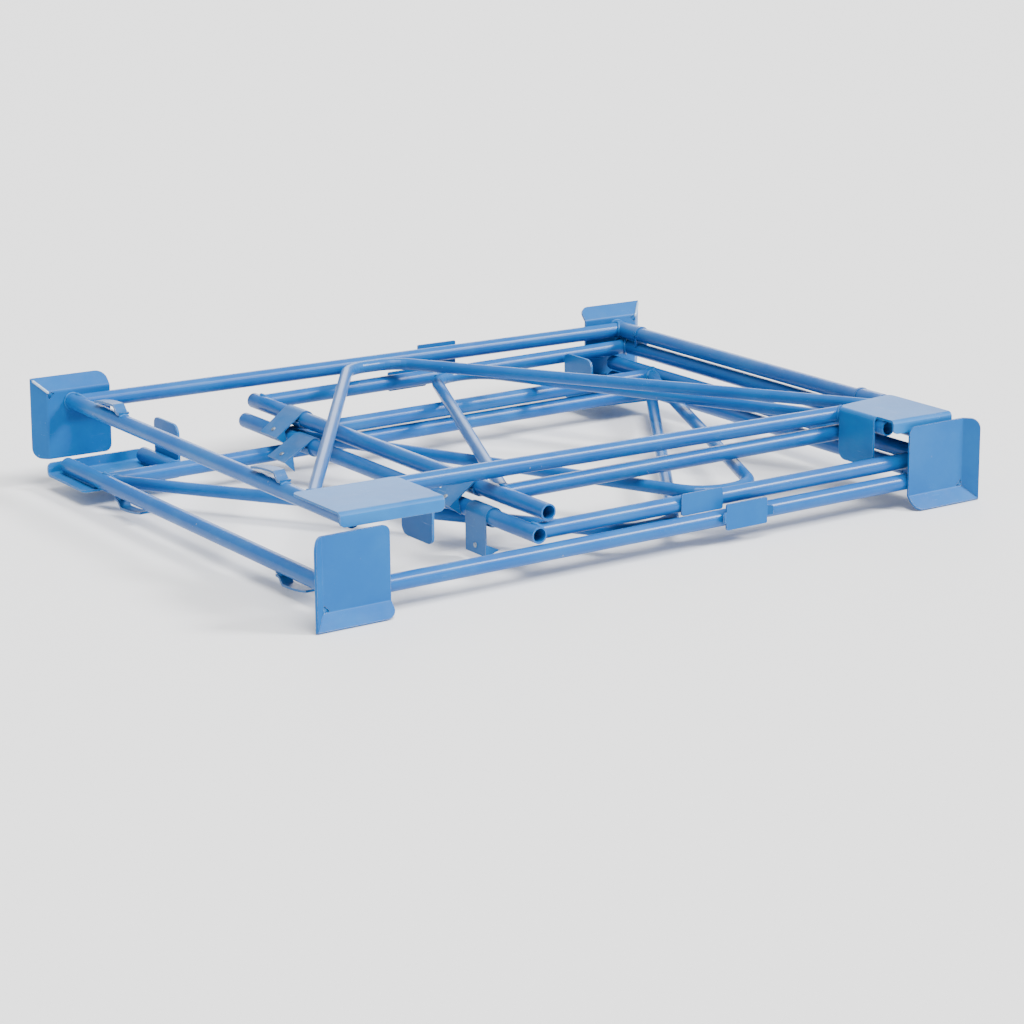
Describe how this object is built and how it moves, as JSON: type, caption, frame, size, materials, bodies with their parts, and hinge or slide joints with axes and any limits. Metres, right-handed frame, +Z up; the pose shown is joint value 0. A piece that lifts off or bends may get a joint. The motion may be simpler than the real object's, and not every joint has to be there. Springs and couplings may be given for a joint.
{
  "type": "folding steel pallet collar",
  "caption": "Folding tubular steel pallet collar in blue powder coat, lying folded flat: hinged side frames and gates with flared corner trays, foot plates and hook latches.",
  "frame": {"origin": "centre of the bounding box's bottom face, folded flat", "axes": "+X along the 1200 mm side towards the hinges, +Y across the pallet, +Z up out of the deck it lies on"},
  "size_m": [1.3112, 1.0036, 0.192],
  "materials": {
    "blue_coat_brace": "glossy powder coat",
    "blue_coat_hinge": "glossy powder coat, worn at the edges",
    "blue_coat_latch": "satin powder coat, scuffed",
    "blue_coat_sheet": "satin powder coat",
    "blue_coat_tube": "glossy powder coat",
    "zinc_rivet": "zinc plated"
  },
  "bodies": {
    "lower_side_frame": {"lower_side_free_leg": "blue_coat_tube", "lower_side_top_rail": "blue_coat_tube", "lower_side_bottom_rail": "blue_coat_tube", "lower_side_brace": "blue_coat_brace", "lower_side_tray_free": "blue_coat_sheet", "lower_side_tray_hinge": "blue_coat_sheet", "lower_side_foot_free": "blue_coat_sheet", "lower_side_foot_hinge": "blue_coat_sheet", "lower_side_hinge_stub": "blue_coat_hinge", "lower_side_hinge_base": "blue_coat_tube", "lower_side_hinge_post": "blue_coat_hinge", "lower_side_mid_plate": "blue_coat_sheet", "lower_side_eye_lower": "blue_coat_latch", "lower_side_eye_upper": "blue_coat_latch", "lower_side_stub_free": "blue_coat_tube", "lower_side_stub_hinge": "blue_coat_tube"},
    "lower_gate": {"lower_gate_free_leg": "blue_coat_tube", "lower_gate_hinge_leg": "blue_coat_tube", "lower_gate_top_rail": "blue_coat_tube", "lower_gate_bottom_rail": "blue_coat_tube", "lower_gate_brace": "blue_coat_brace", "lower_gate_hinge_tube": "blue_coat_hinge", "lower_gate_sleeve": "blue_coat_hinge", "lower_gate_lug_top": "blue_coat_hinge", "lower_gate_lug_bottom": "blue_coat_hinge", "lower_gate_mid_plate": "blue_coat_sheet"},
    "lower_latch_low": {"lower_latch_low": "blue_coat_latch", "lower_latch_low_rivet": "zinc_rivet"},
    "lower_latch_high": {"lower_latch_high": "blue_coat_latch", "lower_latch_high_rivet": "zinc_rivet"},
    "upper_side_frame": {"upper_side_free_leg": "blue_coat_tube", "upper_side_top_rail": "blue_coat_tube", "upper_side_bottom_rail": "blue_coat_tube", "upper_side_brace": "blue_coat_brace", "upper_side_tray_free": "blue_coat_sheet", "upper_side_tray_hinge": "blue_coat_sheet", "upper_side_foot_free": "blue_coat_sheet", "upper_side_foot_hinge": "blue_coat_sheet", "upper_side_hinge_stub": "blue_coat_hinge", "upper_side_hinge_base": "blue_coat_tube", "upper_side_hinge_post": "blue_coat_hinge", "upper_side_mid_plate": "blue_coat_sheet", "upper_side_eye_lower": "blue_coat_latch", "upper_side_eye_upper": "blue_coat_latch", "upper_side_stub_free": "blue_coat_tube", "upper_side_stub_hinge": "blue_coat_tube"},
    "upper_gate": {"upper_gate_free_leg": "blue_coat_tube", "upper_gate_hinge_leg": "blue_coat_tube", "upper_gate_top_rail": "blue_coat_tube", "upper_gate_bottom_rail": "blue_coat_tube", "upper_gate_brace": "blue_coat_brace", "upper_gate_hinge_tube": "blue_coat_hinge", "upper_gate_sleeve": "blue_coat_hinge", "upper_gate_lug_top": "blue_coat_hinge", "upper_gate_lug_bottom": "blue_coat_hinge", "upper_gate_mid_plate": "blue_coat_sheet"},
    "upper_latch_low": {"upper_latch_low": "blue_coat_latch", "upper_latch_low_rivet": "zinc_rivet"},
    "upper_latch_high": {"upper_latch_high": "blue_coat_latch", "upper_latch_high_rivet": "zinc_rivet"}
  },
  "joints": [
    {"name": "lower_gate_hinge", "type": "hinge", "parent": "lower_side_frame", "child": "lower_gate", "pos_m": [0.56222, -0.005, 0.04306], "axis": [0, 1, 0], "range_deg": [0, 90]},
    {"name": "upper_half_lift", "type": "slide", "parent": "lower_gate", "child": "upper_gate", "axis": [0, 0, 1], "range_m": [0, 0.15]},
    {"name": "upper_side_frame_hinge", "type": "hinge", "parent": "upper_gate", "child": "upper_side_frame", "pos_m": [0.58722, 0.005, 0.13306], "axis": [0, 1, 0], "range_deg": [0, 89.25]},
    {"name": "lower_latch_low_pivot", "type": "hinge", "parent": "lower_gate", "child": "lower_latch_low", "pos_m": [-0.23978, 0.2375, 0.07301], "axis": [0, 1, 0], "range_deg": [-60, 70]},
    {"name": "lower_latch_high_pivot", "type": "hinge", "parent": "lower_gate", "child": "lower_latch_high", "pos_m": [-0.23978, -0.3115, 0.07301], "axis": [0, 1, 0], "range_deg": [0, 130]},
    {"name": "upper_latch_low_pivot", "type": "hinge", "parent": "upper_gate", "child": "upper_latch_low", "pos_m": [-0.21478, -0.2375, 0.10311], "axis": [0, 1, 0], "range_deg": [0, 114]},
    {"name": "upper_latch_high_pivot", "type": "hinge", "parent": "upper_gate", "child": "upper_latch_high", "pos_m": [-0.21478, 0.3115, 0.10311], "axis": [0, 1, 0], "range_deg": [0, 114]}
  ]
}
